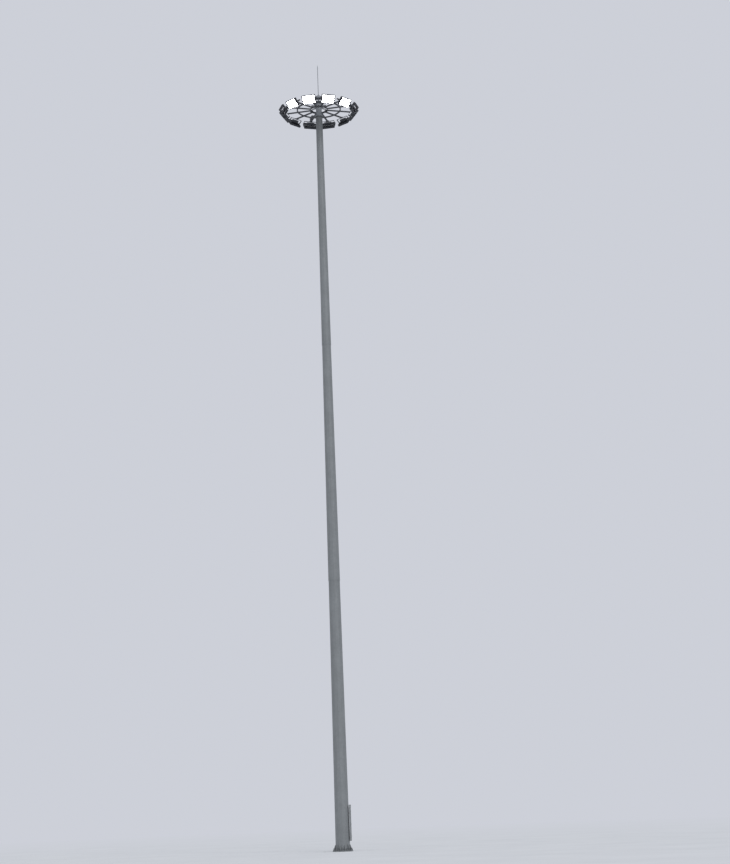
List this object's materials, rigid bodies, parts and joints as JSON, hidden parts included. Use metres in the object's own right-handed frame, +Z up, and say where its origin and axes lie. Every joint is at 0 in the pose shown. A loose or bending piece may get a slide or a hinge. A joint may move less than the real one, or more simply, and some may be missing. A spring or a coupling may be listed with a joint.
{
  "type": "high mast floodlight tower",
  "caption": "Tapered twelve-sided steel mast in sleeved sections on a ribbed flange, with a capped head and a ring carriage of finned LED floodlights on tilt yokes that lowers down the mast.",
  "frame": {"origin": "centre of the base flange's flat underside", "axes": "+Z up the mast, +Y away from the picture's viewpoint, towards the service door, +X to the right in the picture"},
  "size_m": [3.2848, 3.2848, 31.605],
  "materials": {
    "galvanised_mast": "matt hot-dip galvanised",
    "galvanised_head": "matt hot-dip galvanised",
    "pulley_metal": "machined",
    "pin_steel": "bright",
    "roller_rubber": "worn",
    "galvanised_carriage": "dull galvanised, weathered",
    "cast_lamp_body": "dark powder coat",
    "heat_sink": "black anodised",
    "lens": "clear, lit",
    "driver_case": "grey powder coat",
    "junction_case": "grey enamel"
  },
  "bodies": {
    "mast": {"base_flange": "galvanised_mast", "base_gussets": "galvanised_mast", "mast_lower": "galvanised_mast", "mast_middle": "galvanised_mast", "mast_upper": "galvanised_mast", "door_frame": "galvanised_mast", "service_door": "galvanised_mast", "mast_top_flange": "galvanised_mast", "head_tube": "galvanised_head", "head_plate": "galvanised_head", "pulley_cheeks": "galvanised_head", "rope_pulleys": "pulley_metal", "pulley_axles": "pin_steel", "docking_arms": "galvanised_head", "docking_buffers": "roller_rubber", "cap_stand": "galvanised_head", "rain_cap": "galvanised_head", "lightning_rod": "galvanised_head"},
    "carriage": {"guide_ring": "galvanised_carriage", "lamp_arms": "galvanised_carriage", "arm_end_plates": "galvanised_carriage", "support_ring": "galvanised_carriage", "roller_forks": "galvanised_carriage", "guide_rollers": "roller_rubber", "roller_axles": "pin_steel", "rope_lugs": "galvanised_carriage", "lamp_yokes": "galvanised_carriage", "lamp_frames": "cast_lamp_body", "led_modules": "heat_sink", "led_lenses": "lens", "driver_boxes": "driver_case", "junction_box": "junction_case"}
  },
  "joints": [
    {"name": "carriage_travel", "type": "slide", "parent": "mast", "child": "carriage", "axis": [0, 0, 1], "range_m": [-27, 0]}
  ]
}
